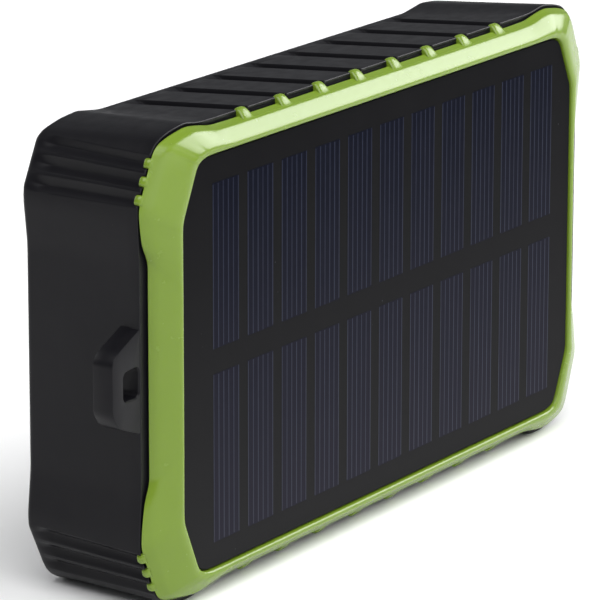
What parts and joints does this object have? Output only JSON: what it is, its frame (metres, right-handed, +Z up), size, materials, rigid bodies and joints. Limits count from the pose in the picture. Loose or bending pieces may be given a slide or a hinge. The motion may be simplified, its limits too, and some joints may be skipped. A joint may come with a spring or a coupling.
{
  "type": "solar phone charger",
  "caption": "Rugged solar power bank: a grooved black tub with a lanyard loop, a toothed green bezel round a solar panel, a rubber cover over its USB sockets, a button and a rear torch.",
  "frame": {"origin": "bottom centre of the whole object's box, on the surface that it stands on", "axes": "+X along the case, away from the lanyard loop; +Y from the solar panel to the back; +Z up, with the case standing on its long edge"},
  "size_m": [0.16, 0.0306, 0.0872],
  "materials": {
    "shell": "fine spark texture",
    "bezel": "satin",
    "panel": "clear laminate",
    "cell": "silicon under clear laminate",
    "rubber": "matte",
    "seal": "matte silicone",
    "pouch": "laminated foil",
    "foam": "foam tape",
    "board": "solder mask",
    "metal": "nickel plated",
    "black_plastic": "matte",
    "clear": "frosted clear plastic",
    "led": "phosphor gel",
    "reflector": "metallised plastic",
    "red_lead": "silicone insulation",
    "black_lead": "silicone insulation"
  },
  "bodies": {
    "charger": {"rear_shell": "shell", "front_bezel": "bezel", "rim_gasket": "seal", "solar_panel_board": "panel", "solar_cells_upper": "cell", "solar_cells_lower": "cell", "battery_cell_front": "pouch", "battery_cell_rear": "pouch", "battery_foam_tape": "foam", "battery_protection_board": "board", "main_board": "board", "power_inductor": "black_plastic", "control_chip": "black_plastic", "capacitor_lower": "metal", "capacitor_upper": "metal", "usb_a_shell_upper": "metal", "usb_a_shell_lower": "metal", "usb_a_tongue_upper": "black_plastic", "usb_a_tongue_lower": "black_plastic", "micro_usb_shell": "metal", "micro_usb_tongue": "black_plastic", "tact_switch_body": "black_plastic", "status_light_guide": "clear", "torch_board": "board", "torch_reflector": "reflector", "torch_lens": "clear", "port_cover_anchor": "rubber", "board_screw_1": "metal", "board_screw_2": "metal", "board_screw_3": "metal", "status_led_1": "led", "torch_led_1": "led", "case_screw_1": "metal", "status_led_2": "led", "torch_led_2": "led", "case_screw_2": "metal", "status_led_3": "led", "torch_led_3": "led", "case_screw_3": "metal", "status_led_4": "led", "torch_led_4": "led", "case_screw_4": "metal", "battery_lead_positive": "red_lead", "battery_lead_negative": "black_lead", "panel_lead_positive": "red_lead", "panel_lead_negative": "black_lead", "torch_lead_positive": "red_lead", "torch_lead_negative": "black_lead"},
    "power_button": {"power_button": "rubber", "tact_switch_plunger": "metal"},
    "port_cover": {"port_cover_flap": "rubber"}
  },
  "joints": [
    {"name": "button_press", "type": "slide", "parent": "charger", "child": "power_button", "axis": [-1, 0, 0], "range_m": [0, 0.0005], "stiffness_N_per_m": 300},
    {"name": "port_cover_hinge", "type": "hinge", "parent": "charger", "child": "port_cover", "pos_m": [0.07815, 0.0101, 0.0356], "axis": [0, 0, 1], "range_deg": [0, 120], "stiffness_Nm_per_rad": 0.003}
  ]
}
